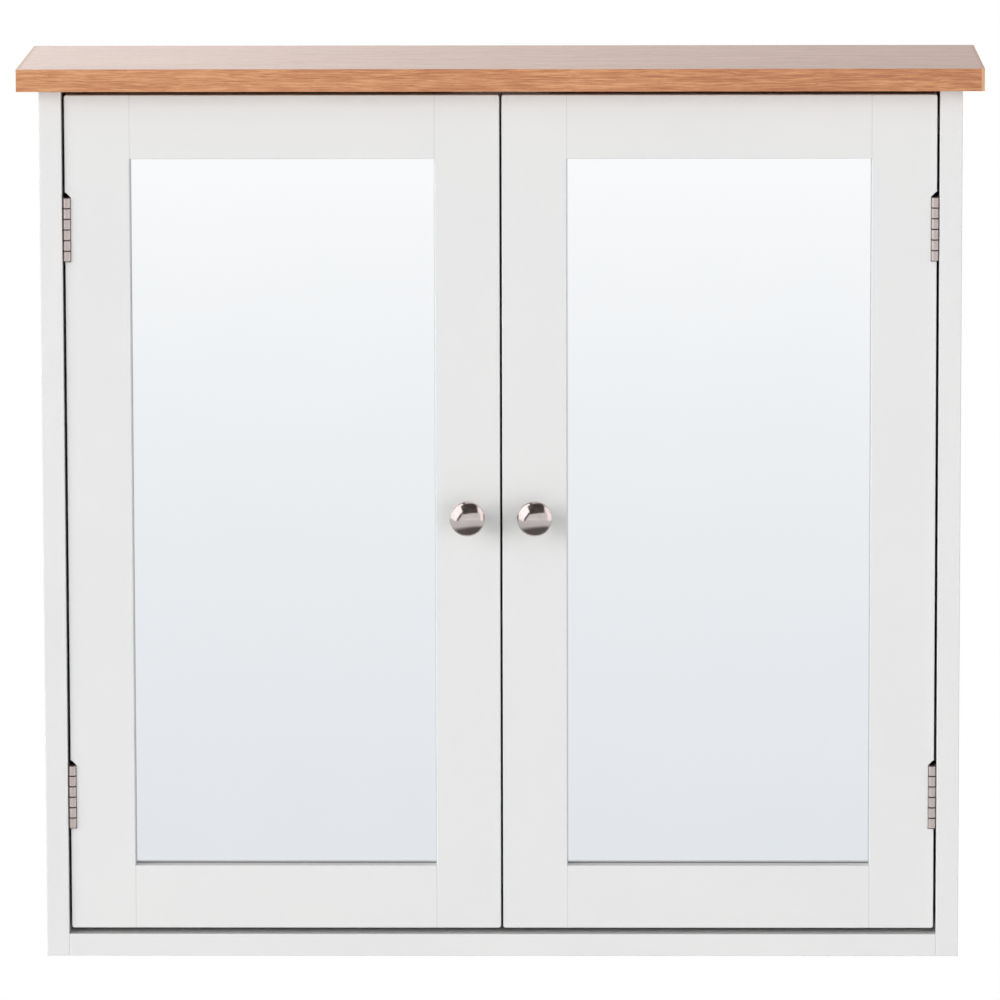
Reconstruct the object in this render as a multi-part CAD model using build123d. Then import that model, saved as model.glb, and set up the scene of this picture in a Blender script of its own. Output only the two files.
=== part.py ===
"""A wall-hung bathroom cabinet with two framed mirror doors under a wood-effect top.

Millimetres. X runs to the right, Y from the room to the wall, Z up. The wall is the plane Y = 0,
and the origin lies on it, midway between the two holes that the wall screws pass through.
"""

from build123d import *
from math import asin, cos, pi, sin
import os

# The carcass: two sides, a bottom between them and a top board laid over both
carcass_width = 574.0
carcass_height = 548.0
carcass_depth = 150.0
board_thickness = 14.0
board_edge_round = 0.5

# The top board and the edging strips glued round it
top_thickness = 14.0
top_side_overhang = 13.0
top_front_overhang = 13.0
edging_thickness = 2.0

# The back panel, let into a rebate in each side
back_thickness = 3.0
back_rebate_width = 7.0
back_panel_clearance = 0.25
back_screw_end_inset = 45.0
back_screw_side_count = 4
back_screw_middle_spread = 330.0
back_screw_across_count = 3

# The hanging rail, with the holes for the wall screws
hanging_rail_height = 60.0
hanging_rail_thickness = 14.0
wall_hole_radius = 3.0
wall_hole_spacing = 400.0
wall_hole_drop = 30.0

# The gaps round the doors, which stand inside the carcass
door_setback = 2.5
door_top_gap = 3.5
door_bottom_gap = 3.5
door_side_gap = 1.6
door_centre_gap = 1.4

# The door frames
door_thickness = 18.0
stile_width = 40.5
door_rail_width = 40.0
door_corner_round = 1.5
door_edge_round = 0.6
opening_edge_round = 0.7

# The mirror and the hardboard behind it
mirror_lip = 9.0
mirror_thickness = 4.0
mirror_rebate_width = 6.0
mirror_clearance = 0.5
backing_thickness = 3.0
backing_rebate_width = 12.0
backing_clearance = 0.5
backing_screw_pitch = 110.0

# The butt hinges
hinge_length = 40.0
hinge_inset = 84.0
barrel_radius = 2.35
pin_radius = 1.25
pin_clearance = 0.05
leaf_thickness = 1.2
leaf_depth = 12.6
knuckle_pairs = 3
knuckle_gap = 0.4
knuckle_clearance = 0.3
notch_below = 0.3
notch_above = 3.2
notch_ramp = 3.0
hinge_screw_spread = 22.0

# The knobs
knob_radius = 11.0
knob_height = 24.0
knob_foot_radius = 6.5
knob_foot_height = 2.0
knob_neck_radius = 4.6
knob_neck_height = 6.5
knob_crown_radius = 15.0
knob_rim_radius = 1.6
knob_screw_radius = 2.0
knob_screw_bite = 12.0
knob_screw_head_radius = 3.8
knob_screw_head_height = 2.4

# Dowels and the cams that draw the boards together
dowel_radius = 3.0
dowel_length = 28.0
dowel_depth_in_face = 9.0
dowel_end_gap = 0.5
rail_dowel_inset = 15.0
door_dowel_inset = 7.0
cam_radius = 6.0
cam_height = 10.0
cam_setback = 24.0
cam_bolt_radius = 1.75
cam_bolt_thread_radius = 2.5
cam_bolt_thread_length = 9.0
cam_bolt_head_radius = 2.75
cam_bolt_head_length = 3.0
cam_bolt_taper = 0.5
cam_bolt_clearance = 0.25
cam_cross_width = 1.2
cam_cross_depth = 1.2
cam_cap_radius = 7.5
cam_cap_thickness = 0.8
cam_front_inset = 30.0
cam_back_inset = 30.0

# The shelves and the pins under them
shelf_thickness = 12.0
shelf_front_gap = 8.0
shelf_back_gap = 1.5
shelf_end_clearance = 0.2
upper_shelf_row_index = 4
lower_shelf_row_index = 1
pin_hole_pitch = 64.0
pin_hole_count = 6
first_pin_hole_height = 140.0
pin_front_inset = 20.0
pin_back_inset = 22.0
shelf_pin_radius = 2.5
shelf_pin_hole_depth = 9.0
shelf_pin_stub_length = 8.5
shelf_pin_collar_radius = 4.0
shelf_pin_collar_thickness = 0.8
shelf_pin_tongue_length = 8.0
shelf_pin_tongue_width = 6.0
shelf_pin_tongue_thickness = 2.0

# The double magnetic catch under the top board
catch_width = 60.0
catch_body_width = 44.0
catch_depth = 14.0
catch_wall = 1.5
catch_ear_height = 2.5
catch_strike_gap = 0.3
magnet_width = 12.0
magnet_depth = 9.0
magnet_height = 5.0
pole_plate_thickness = 1.0
pole_plate_lead = 1.0
strike_width = 16.0
strike_height = 12.0
strike_thickness = 1.0
strike_inset = 2.0

# Screws: the radius of the shank, the radius of the head, the length under the head's face
screw_clearance = 0.05
hinge_screw = dict(shank=1.3, head=2.7, length=12.0)
back_screw = dict(shank=1.2, head=2.5, length=15.0)
backing_screw = dict(shank=1.1, head=2.4, length=8.0)
strike_screw = dict(shank=1.2, head=2.4, length=10.0)
catch_screw = dict(shank=1.4, head=2.8, length=12.0)
screw_recess_share = 0.45

# Places worked out from the sizes above
outer_x = carcass_width / 2
inner_x = outer_x - board_thickness
front_y = -carcass_depth
under_top_z = wall_hole_drop
base_z = under_top_z - carcass_height
floor_z = base_z + board_thickness
back_inside_y = -back_thickness
rail_front_y = back_inside_y - hanging_rail_thickness
rail_base_z = under_top_z - hanging_rail_height

door_front_y = front_y + door_setback
door_back_y = door_front_y + door_thickness
door_top_z = under_top_z - door_top_gap
door_base_z = floor_z + door_bottom_gap
door_outer_x = inner_x - door_side_gap
door_inner_x = door_centre_gap / 2
opening_outer_x = door_outer_x - stile_width
opening_inner_x = door_inner_x + stile_width
opening_top_z = door_top_z - door_rail_width
opening_base_z = door_base_z + door_rail_width
mirror_front_y = door_front_y + mirror_lip
mirror_back_y = mirror_front_y + mirror_thickness
backing_back_y = mirror_back_y + backing_thickness

hinge_seat = barrel_radius + knuckle_clearance
hinge_x = inner_x - hinge_seat
hinge_y = door_front_y
hinge_heights = {"upper": door_top_z - hinge_inset, "lower": door_base_z + hinge_inset}

shelf_front_y = door_back_y + shelf_front_gap
shelf_back_y = back_inside_y - shelf_back_gap
pin_columns_y = [shelf_front_y + pin_front_inset, shelf_back_y - pin_back_inset]
pin_heights = [base_z + first_pin_hole_height + pin_hole_pitch * row for row in range(pin_hole_count)]
cam_rows_y = [front_y + cam_front_inset, -cam_back_inset]
dowel_y = (cam_rows_y[0] + cam_rows_y[1]) / 2

strike_back_y = door_back_y + strike_thickness
catch_front_y = strike_back_y + catch_strike_gap
catch_back_y = catch_front_y + catch_depth
strike_centre_x = door_inner_x + strike_inset + strike_width / 2
strike_centre_z = door_top_z - strike_inset - strike_height / 2
magnet_x = strike_centre_x
pole_reach_z = magnet_height / 2 + pole_plate_thickness
catch_base_z = strike_centre_z - pole_reach_z - catch_wall


def block(x0, x1, y0, y1, z0, z1):
    """A box between two planes on each axis."""
    centre = Pos((x0 + x1) / 2, (y0 + y1) / 2, (z0 + z1) / 2)
    return centre * Box(abs(x1 - x0), abs(y1 - y0), abs(z1 - z0))


def rod(start, direction, radius, length):
    """A round bar from a point along a direction."""
    place = Plane(origin=start, z_dir=direction)
    return place * Cylinder(radius, length, align=(Align.CENTER, Align.CENTER, Align.MIN))


def turned(start, direction, outline):
    """A solid turned about a direction: the outline lists (radius, distance along) points."""
    profile = make_face(Polyline([(radius, 0, along) for radius, along in outline], close=True))
    place = Plane(origin=start, z_dir=direction)
    return place * revolve(profile, Axis.Z)


def moved(point, direction, distance):
    """A point shifted along a direction."""
    return tuple(value + step * distance for value, step in zip(point, direction))


def countersunk_outline(shank, head, length, gap):
    """The half section of a countersunk screw, or of its hole where the gap is over nothing."""
    taper = head - shank
    tip = shank if gap else shank * 0.25
    straight = length - shank
    return [
        (0, 0),
        (head, 0),
        (shank + gap, taper - gap),
        (shank + gap, straight),
        (tip + gap, length),
        (0, length),
    ]


def screw(start, direction, shank, head, length):
    """A countersunk screw with a cross recess. The start is the middle of the head's face."""
    body = turned(start, direction, countersunk_outline(shank, head, length, 0))
    depth = (head - shank) * screw_recess_share
    place = Plane(origin=start, z_dir=direction)
    slot = Box(head * 1.1, shank * 0.45, depth * 2)
    return body - place * slot - place * Rot(0, 0, 90) * slot


def screw_hole(start, direction, shank, head, length):
    """The hole that a countersunk screw fills, a little wider and deeper than the screw."""
    outline = countersunk_outline(shank, head, length + screw_clearance, screw_clearance)
    return turned(start, direction, outline)


def dowel(middle, direction, into_face, into_end):
    """A dowel that reaches one way into a board's face and the other way into a board's end."""
    start = moved(middle, direction, -into_face)
    return rod(start, direction, dowel_radius, into_face + into_end)


def dowel_hole(middle, direction, into_face, into_end):
    """The two holes for a dowel, each a little deeper than it."""
    start = moved(middle, direction, -into_face - dowel_end_gap)
    return rod(start, direction, dowel_radius, into_face + into_end + 2 * dowel_end_gap)


def spread(low, high, count):
    """Evenly spaced places from one end to the other."""
    return [low + (high - low) * step / (count - 1) for step in range(count)]


def cut(body, tools):
    """A body with a list of tools taken away."""
    return (body - tools).solid()


def group(solids):
    """Alike pieces that share one node."""
    return Compound(children=[one.solid() for one in solids])


def save(name, shape):
    """Writes one piece, or one group of alike pieces, under its own name."""
    shape.label = name
    export_step(shape, f"parts/{name}.step")


# The cams: each cam turns in one board and hooks the head of a bolt set in the next one

def cam_places():
    """The joint face point, the bolt's direction into the cam board, and the cam's open side."""
    places = []
    for side in (-1, 1):
        for y in cam_rows_y:
            upright_x = side * (inner_x + board_thickness / 2)
            places.append(((upright_x, y, under_top_z), (0, 0, -1), (-side, 0, 0)))
            places.append(((side * inner_x, y, base_z + board_thickness / 2), (-side, 0, 0), (0, 0, -1)))
    return places


def cam_mouth(joint, inward, open_side):
    """The middle of the cam's pocket, on the board's surface."""
    return moved(moved(joint, inward, cam_setback), open_side, board_thickness / 2)


def opposite(direction):
    """A direction turned round."""
    return tuple(-step for step in direction)


def cam_bolt(joint, inward, open_side):
    """A bolt screwed into the face board, with a head that the cam grips."""
    reach = cam_setback + cam_bolt_head_length / 2
    head_start = reach - cam_bolt_head_length
    start = moved(joint, inward, -cam_bolt_thread_length)
    outline = [
        (0, 0),
        (cam_bolt_thread_radius, 0),
        (cam_bolt_thread_radius, cam_bolt_thread_length),
        (cam_bolt_radius, cam_bolt_thread_length + cam_bolt_taper),
        (cam_bolt_radius, cam_bolt_thread_length + head_start),
        (cam_bolt_head_radius, cam_bolt_thread_length + head_start + cam_bolt_taper),
        (cam_bolt_head_radius, cam_bolt_thread_length + reach - cam_bolt_taper),
        (cam_bolt_radius, cam_bolt_thread_length + reach),
        (0, cam_bolt_thread_length + reach),
    ]
    return turned(start, inward, outline)


def cam_lock(joint, inward, open_side):
    """A round cam with a slot for the bolt's head and a cross for the screwdriver."""
    mouth = cam_mouth(joint, inward, open_side)
    depth = opposite(open_side)
    body = rod(mouth, depth, cam_radius, cam_height)
    tunnel = rod(joint, inward, cam_bolt_head_radius + cam_bolt_clearance, cam_setback + cam_bolt_head_length)
    place = Plane(origin=mouth, z_dir=depth)
    slot = Box(cam_radius * 1.2, cam_cross_width, 2 * cam_cross_depth)
    return body - tunnel - place * slot - place * Rot(0, 0, 90) * slot


def cam_cap(joint, inward, open_side):
    """A thin round cap over the cam's pocket."""
    mouth = cam_mouth(joint, inward, open_side)
    return rod(mouth, open_side, cam_cap_radius, cam_cap_thickness)


def cam_pocket(joint, inward, open_side):
    """The pocket and the end bore for one cam, cut in the board that holds the cam."""
    mouth = cam_mouth(joint, inward, open_side)
    pocket = rod(mouth, opposite(open_side), cam_radius + screw_clearance, cam_height + screw_clearance)
    bore = rod(joint, inward, cam_bolt_head_radius + cam_bolt_clearance, cam_setback)
    return pocket + bore


def cam_bolt_hole(joint, inward, open_side):
    """The blind hole that the bolt's thread bites in, cut in the face board."""
    start = moved(joint, inward, -cam_bolt_thread_length - screw_clearance)
    radius = cam_bolt_thread_radius + screw_clearance
    return rod(start, inward, radius, cam_bolt_thread_length + screw_clearance)


cams = cam_places()

# The dowels of the carcass: up into the top, out into the sides

rail_dowel_y = (back_inside_y + rail_front_y) / 2
rail_dowel_zs = spread(rail_base_z + rail_dowel_inset, under_top_z - rail_dowel_inset, 2)
into_end = dowel_length - dowel_depth_in_face
carcass_dowel_places = []
for side in (-1, 1):
    upright_x = side * (inner_x + board_thickness / 2)
    carcass_dowel_places.append(((upright_x, dowel_y, under_top_z), (0, 0, -1)))
    carcass_dowel_places.append(((side * inner_x, dowel_y, base_z + board_thickness / 2), (-side, 0, 0)))
    for z in rail_dowel_zs:
        carcass_dowel_places.append(((side * inner_x, rail_dowel_y, z), (-side, 0, 0)))

# The screws of the back panel: along both sides, the bottom and the hanging rail

def back_screw_starts():
    """Where the heads of the back panel's screws lie."""
    side_x = inner_x + back_rebate_width / 2
    lowest = base_z + back_screw_end_inset
    highest = rail_base_z - back_screw_end_inset / 2
    heights = spread(lowest, highest, back_screw_side_count)
    starts = [(side * side_x, 0, z) for side in (-1, 1) for z in heights]
    for x in spread(-back_screw_middle_spread / 2, back_screw_middle_spread / 2, back_screw_across_count):
        starts.append((x, 0, base_z + board_thickness / 2))
        starts.append((x, 0, (rail_base_z + wall_hole_radius) / 2))
    return starts


# The screws of the two left hinges

def hinge_screw_heights(middle_z):
    """The heights of the two screws in a leaf."""
    return [middle_z - hinge_screw_spread / 2, middle_z + hinge_screw_spread / 2]


def side_leaf_screw_starts():
    """The heads of the screws that hold the left hinges to the left side."""
    x = -hinge_x - hinge_seat + leaf_thickness
    y = hinge_y + (leaf_depth + hinge_seat) / 2
    return [(x, y, z) for middle in hinge_heights.values() for z in hinge_screw_heights(middle)]


def door_leaf_screw_starts():
    """The heads of the screws that hold the left hinges to the left door."""
    x = -hinge_x + hinge_seat - leaf_thickness
    y = hinge_y + (leaf_depth + hinge_seat) / 2
    return [(x, y, z) for middle in hinge_heights.values() for z in hinge_screw_heights(middle)]


# Boards of the carcass: each is cut by every hole and pocket, and those beyond it take nothing away

def wall_holes():
    """The two holes for the wall screws, through the back panel and the rail."""
    reach = back_thickness + hanging_rail_thickness
    starts = [(side * wall_hole_spacing / 2, 0, 0) for side in (-1, 1)]
    return [rod(start, (0, -1, 0), wall_hole_radius, reach) for start in starts]


def pin_holes():
    """The rows of blind holes for the shelf pins, in both sides."""
    radius = shelf_pin_radius + screw_clearance
    holes = []
    for side in (-1, 1):
        mouths = [(side * inner_x, y, z) for y in pin_columns_y for z in pin_heights]
        holes += [rod(mouth, (side, 0, 0), radius, shelf_pin_hole_depth) for mouth in mouths]
    return holes


def carcass_holes():
    """Every hole and pocket in the boards of the carcass."""
    holes = [cam_pocket(*place) for place in cams]
    holes += [cam_bolt_hole(*place) for place in cams]
    holes += [dowel_hole(*place, dowel_depth_in_face, into_end) for place in carcass_dowel_places]
    holes += [screw_hole(start, (0, -1, 0), **back_screw) for start in back_screw_starts()]
    holes += [screw_hole(start, (0, 0, 1), **catch_screw) for start in catch_screw_starts()]
    return holes + wall_holes() + pin_holes() + left_side_screw_holes()


def left_side_screw_holes():
    """The holes for the left hinges' screws in the left side."""
    return [screw_hole(start, (-1, 0, 0), **hinge_screw) for start in side_leaf_screw_starts()]


def eased_board(x0, x1, y0, y1, z0, z1):
    """A board with the edges of its front eased."""
    body = block(x0, x1, y0, y1, z0, z1)
    return fillet(front_edges(body), board_edge_round)


def front_edges(body):
    """The edges round a body's front face."""
    return body.faces().sort_by(Axis.Y)[0].edges()


def left_side_panel(holes):
    """The left side, rebated for the back panel."""
    body = eased_board(-outer_x, -inner_x, front_y, 0, base_z, under_top_z)
    rebate_x = -inner_x - back_rebate_width
    rebate = block(rebate_x, -inner_x, back_inside_y, 0, base_z, under_top_z)
    return cut(body, holes + [rebate])


def bottom_board(holes):
    """The bottom, held between the sides, with its cam pockets on the underside."""
    body = eased_board(-inner_x, inner_x, front_y, back_inside_y, base_z, floor_z)
    return cut(body, holes)


def hanging_rail(holes):
    """The rail under the top, before the back panel, that carries the cabinet on two screws."""
    body = block(-inner_x, inner_x, rail_front_y, back_inside_y, rail_base_z, under_top_z)
    return cut(body, holes)


def back_panel(holes):
    """The thin white back, screwed into the rebates."""
    half = inner_x + back_rebate_width - back_panel_clearance
    z0 = base_z + back_panel_clearance
    z1 = under_top_z - back_panel_clearance
    return cut(block(-half, half, back_inside_y, 0, z0, z1), holes)


def top_core(holes):
    """The laminated top board without its edging strips."""
    half = outer_x + top_side_overhang - edging_thickness
    y0 = front_y - top_front_overhang + edging_thickness
    return cut(block(-half, half, y0, 0, under_top_z, under_top_z + top_thickness), holes)


def top_edging():
    """The wood-effect strips on the front and the two ends of the top board."""
    half = outer_x + top_side_overhang
    y0 = front_y - top_front_overhang
    z1 = under_top_z + top_thickness
    inside = half - edging_thickness
    front = block(-inside, inside, y0, y0 + edging_thickness, under_top_z, z1)
    ends = [block(side * inside, side * half, y0, 0, under_top_z, z1) for side in (-1, 1)]
    return group([front] + ends)


# Doors, made for the left and mirrored for the right

def door_frame():
    """The whole door frame in one piece, with its opening and both rebates."""
    x0, x1 = -door_outer_x, -door_inner_x
    body = block(x0, x1, door_front_y, door_back_y, door_base_z, door_top_z)
    body = fillet(body.edges().filter_by(Axis.Y), door_corner_round)
    body = fillet(front_edges(body), door_edge_round)
    body = body - opening_block(0, door_front_y, door_back_y)
    inner = body.faces().sort_by(Axis.Y)[0].inner_wires()[0].edges()
    body = fillet(inner, opening_edge_round)
    body = body - opening_block(mirror_rebate_width, mirror_front_y, door_back_y)
    return body - opening_block(backing_rebate_width, mirror_back_y, door_back_y)


def opening_block(margin, y0, y1):
    """The door's opening, widened by a margin all round."""
    return block(
        -opening_outer_x - margin,
        -opening_inner_x + margin,
        y0,
        y1,
        opening_base_z - margin,
        opening_top_z + margin,
    )


def door_dowel_places():
    """The dowels between the rails and the stiles, two at each corner, clear of the rebates."""
    solid_width = door_rail_width - backing_rebate_width
    insets = (door_dowel_inset, solid_width - door_dowel_inset)
    y = (door_front_y + door_back_y) / 2
    places = []
    for x, direction in ((-opening_outer_x, (1, 0, 0)), (-opening_inner_x, (-1, 0, 0))):
        for inset in insets:
            places.append(((x, y, door_top_z - inset), direction))
            places.append(((x, y, door_base_z + inset), direction))
    return places


def backing_screw_starts():
    """The heads of the small screws round the hardboard's edge."""
    margin = (backing_rebate_width + mirror_rebate_width) / 2
    x0, x1 = -opening_outer_x - margin, -opening_inner_x + margin
    z0, z1 = opening_base_z - margin, opening_top_z + margin
    count = max(2, round((z1 - z0) / backing_screw_pitch))
    starts = [((x0 + x1) / 2, backing_back_y, z) for z in (z0, z1)]
    for row in range(count):
        z = z0 + (z1 - z0) * (row + 0.5) / count
        starts += [(x0, backing_back_y, z), (x1, backing_back_y, z)]
    return starts


def hinge_notches():
    """The notch for each left hinge in the door's edge, run out on a slope at its upper end."""
    notches = []
    for middle in hinge_heights.values():
        z0 = middle - hinge_length / 2 - notch_below
        z1 = middle + hinge_length / 2 + notch_above
        x0 = -door_outer_x - door_corner_round
        x1 = -hinge_x + hinge_seat
        notch = block(x0, x1, door_front_y - 1, door_back_y + 1, z0, z1)
        corner = notch.edges().filter_by(Axis.Y).sort_by(Axis.X)[-2:].sort_by(Axis.Z)[-1]
        notches.append(chamfer(corner, notch_ramp))
    return notches


def door_holes():
    """Every hole and notch in the left door. Each member is cut by all of them."""
    half = dowel_length / 2
    holes = [dowel_hole(middle, direction, half, half) for middle, direction in door_dowel_places()]
    holes += [screw_hole(start, (0, -1, 0), **backing_screw) for start in backing_screw_starts()]
    holes += [screw_hole(start, (1, 0, 0), **hinge_screw) for start in door_leaf_screw_starts()]
    holes.append(screw_hole(strike_screw_start(), (0, -1, 0), **strike_screw))
    holes.append(rod(knob_foot(), (0, 1, 0), knob_screw_radius + screw_clearance, door_thickness))
    return holes + hinge_notches()


def door_members(holes):
    """The two stiles, full height, and the two rails held between them."""
    frame = door_frame()
    spans = {
        "hinge_stile": (-door_outer_x, -opening_outer_x, door_base_z, door_top_z),
        "meeting_stile": (-opening_inner_x, -door_inner_x, door_base_z, door_top_z),
        "top_rail": (-opening_outer_x, -opening_inner_x, opening_top_z, door_top_z),
        "bottom_rail": (-opening_outer_x, -opening_inner_x, door_base_z, opening_base_z),
    }
    members = {}
    for name, (x0, x1, z0, z1) in spans.items():
        member = frame & block(x0, x1, door_front_y, door_back_y, z0, z1)
        members[f"door_{name}"] = cut(member, holes)
    return members


def mirror_glass():
    """The mirror, lying in its rebate against the lip."""
    return opening_block(mirror_rebate_width - mirror_clearance, mirror_front_y, mirror_back_y)


def mirror_backing(holes):
    """The hardboard that holds the mirror in."""
    body = opening_block(backing_rebate_width - backing_clearance, mirror_back_y, backing_back_y)
    return cut(body, holes)


def knob_foot():
    """The middle of the left knob's foot, on the face of the meeting stile."""
    return (-(opening_inner_x + door_inner_x) / 2, door_front_y, (door_base_z + door_top_z) / 2)


def round_point(middle, radius, angle):
    """A point on a circle in the knob's half section, at an angle from straight up."""
    return (middle[0] + radius * sin(angle), 0, middle[1] + radius * cos(angle))


def knob():
    """A domed mushroom knob: a flared foot, a thin neck and a shallow crown with a rolled rim."""
    foot = (knob_foot_radius, 0, knob_foot_height)
    neck = (knob_neck_radius, 0, knob_neck_height)
    top = (0, 0, knob_height)
    crown_middle = (0, knob_height - knob_crown_radius)
    rim_middle_radius = knob_radius - knob_rim_radius
    crown_angle = asin(rim_middle_radius / (knob_crown_radius - knob_rim_radius))
    rim_middle_height = crown_middle[1] + (knob_crown_radius - knob_rim_radius) * cos(crown_angle)
    rim_middle = (rim_middle_radius, rim_middle_height)
    shoulder = round_point(crown_middle, knob_crown_radius, crown_angle / 2)
    crown_end = round_point(crown_middle, knob_crown_radius, crown_angle)
    widest = round_point(rim_middle, knob_rim_radius, pi / 2)
    under_rim = round_point(rim_middle, knob_rim_radius, pi * 3 / 4)
    outline = [
        Line((0, 0, 0), (knob_foot_radius, 0, 0)),
        Line((knob_foot_radius, 0, 0), foot),
        ThreePointArc(foot, neck, under_rim),
        ThreePointArc(under_rim, widest, crown_end),
        ThreePointArc(crown_end, shoulder, top),
        Line(top, (0, 0, 0)),
    ]
    place = Plane(origin=knob_foot(), z_dir=(0, -1, 0))
    body = place * revolve(make_face(outline), Axis.Z)
    hole = rod(knob_foot(), (0, -1, 0), knob_screw_radius + screw_clearance, knob_screw_bite + 1)
    return body - hole


def knob_screw():
    """The screw through the stile from behind, with a domed head."""
    x, y, z = knob_foot()
    head_radius = knob_screw_head_radius
    head_height = knob_screw_head_height
    shank = rod((x, door_back_y, z), (0, -1, 0), knob_screw_radius, door_thickness + knob_screw_bite)
    outline = [(0, 0), (head_radius, 0), (head_radius * 0.95, head_height * 0.5)]
    outline += [(head_radius * 0.6, head_height * 0.9), (0, head_height)]
    head = turned((x, door_back_y, z), (0, 1, 0), outline)
    place = Plane(origin=(x, door_back_y + head_height, z), z_dir=(0, 1, 0))
    slot = Box(head_radius * 1.2, 0.9, head_height)
    return shank + head - place * slot - place * Rot(0, 0, 90) * slot


# Hinges

def knuckle_spans(middle_z):
    """The lower and upper end of each knuckle, from the bottom up."""
    pitch = hinge_length / (2 * knuckle_pairs)
    base = middle_z - hinge_length / 2
    spans = []
    for index in range(2 * knuckle_pairs):
        z0 = base + pitch * index + (knuckle_gap / 2 if index else 0)
        z1 = base + pitch * (index + 1) - (0 if index == 2 * knuckle_pairs - 1 else knuckle_gap / 2)
        spans.append((z0, z1))
    return spans


def hinge_leaf(middle_z, door_side):
    """One leaf of a left hinge: a plate, and every second knuckle rolled out of it."""
    side = 1 if door_side else -1
    x_out = -hinge_x + side * hinge_seat
    x_in = x_out - side * leaf_thickness
    y0 = hinge_y + hinge_seat
    half = hinge_length / 2
    body = block(x_in, x_out, y0, hinge_y + leaf_depth, middle_z - half, middle_z + half)
    own = knuckle_spans(middle_z)[1 if door_side else 0 :: 2]
    for z0, z1 in own:
        roll = rod((-hinge_x, hinge_y, z0), (0, 0, 1), barrel_radius, z1 - z0)
        root = [
            (x_in, y0),
            (x_in, hinge_y),
            (-hinge_x + side * barrel_radius, hinge_y),
            (x_out, hinge_y + barrel_radius / 2),
            (x_out, y0),
        ]
        neck = extrude(Plane.XY.offset(z0) * make_face(Polyline(root, close=True)), z1 - z0)
        body = body + roll + neck
    bore = rod((-hinge_x, hinge_y, middle_z - half), (0, 0, 1), pin_radius + pin_clearance, hinge_length)
    starts = door_leaf_screw_starts() if door_side else side_leaf_screw_starts()
    holes = [screw_hole(start, (side, 0, 0), **hinge_screw) for start in starts]
    return cut(body, [bore] + holes)


def hinge_pins():
    """The pins of the two left hinges."""
    half = hinge_length / 2
    bases = [middle - half for middle in hinge_heights.values()]
    return [rod((-hinge_x, hinge_y, z), (0, 0, 1), pin_radius, hinge_length) for z in bases]


# The magnetic catch and the strike plates

def catch_screw_starts():
    """The heads of the two screws that hold the catch to the top, one in each ear."""
    x = (catch_width + catch_body_width) / 4
    y = (catch_front_y + catch_back_y) / 2
    return [(side * x, y, under_top_z - catch_ear_height) for side in (-1, 1)]


def catch_block(side, front, z0, z1):
    """A block as wide as a magnet, from a distance behind the pole plates' front to the magnet's back."""
    x = side * magnet_x
    half = magnet_width / 2
    y1 = catch_front_y + pole_plate_lead + magnet_depth
    return block(x - half, x + half, catch_front_y + front, y1, strike_centre_z + z0, strike_centre_z + z1)


def magnet(side):
    """A magnet, a little behind the front of its pole plates."""
    half = magnet_height / 2
    return catch_block(side, pole_plate_lead, -half, half)


def pole_plates(side):
    """The two steel plates over and under a magnet, which meet the strike plate."""
    half = magnet_height / 2
    return [catch_block(side, 0, -pole_reach_z, -half), catch_block(side, 0, half, pole_reach_z)]


def catch_housing():
    """The moulded housing of the double catch, with an ear at each end."""
    half = catch_body_width / 2
    front = catch_front_y + pole_plate_lead / 2
    body = block(-half, half, front, catch_back_y, catch_base_z, under_top_z)
    ear_z = under_top_z - catch_ear_height
    ears = block(-catch_width / 2, catch_width / 2, front, catch_back_y, ear_z, under_top_z)
    holes = [screw_hole(start, (0, 0, 1), **catch_screw) for start in catch_screw_starts()]
    holes += [catch_block(side, 0, -pole_reach_z, pole_reach_z) for side in (-1, 1)]
    return cut(body + ears, holes)


def strike_screw_start():
    """The head of the left strike plate's screw."""
    return (-strike_centre_x, strike_back_y, strike_centre_z)


def strike_plate():
    """The steel plate on the back of the left door that the magnet pulls."""
    x, z = -strike_centre_x, strike_centre_z
    body = block(
        x - strike_width / 2,
        x + strike_width / 2,
        door_back_y,
        strike_back_y,
        z - strike_height / 2,
        z + strike_height / 2,
    )
    return body - screw_hole(strike_screw_start(), (0, -1, 0), **strike_screw)


# Shelves and their pins

def shelf(row_index):
    """A loose shelf that lies on four pins."""
    z0 = pin_heights[row_index] + shelf_pin_tongue_thickness / 2
    half = inner_x - shelf_pin_collar_thickness - shelf_end_clearance
    return eased_board(-half, half, shelf_front_y, shelf_back_y, z0, z0 + shelf_thickness)


def shelf_pin(side, y, z):
    """A spade pin: a round stub in the side, a collar, and a flat tongue under the shelf."""
    inward = (-side, 0, 0)
    face = (side * inner_x, y, z)
    stub = rod(face, opposite(inward), shelf_pin_radius, shelf_pin_stub_length)
    collar_top = z + shelf_pin_tongue_thickness / 2
    collar = rod(face, inward, shelf_pin_collar_radius, shelf_pin_collar_thickness)
    half_width = shelf_pin_tongue_width / 2
    tip_x = side * (inner_x - shelf_pin_tongue_length)
    tongue = block(
        side * inner_x,
        tip_x,
        y - half_width,
        y + half_width,
        z - shelf_pin_tongue_thickness / 2,
        collar_top,
    )
    return stub + collar + tongue


def shelf_pins():
    """The eight pins under the two shelves."""
    pins = []
    for row in (upper_shelf_row_index, lower_shelf_row_index):
        for side in (-1, 1):
            pins += [shelf_pin(side, y, pin_heights[row]) for y in pin_columns_y]
    return pins


# Build and save every piece

def screws(starts, direction, sizes):
    """A group of alike screws."""
    return group([screw(start, direction, **sizes) for start in starts])


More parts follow.
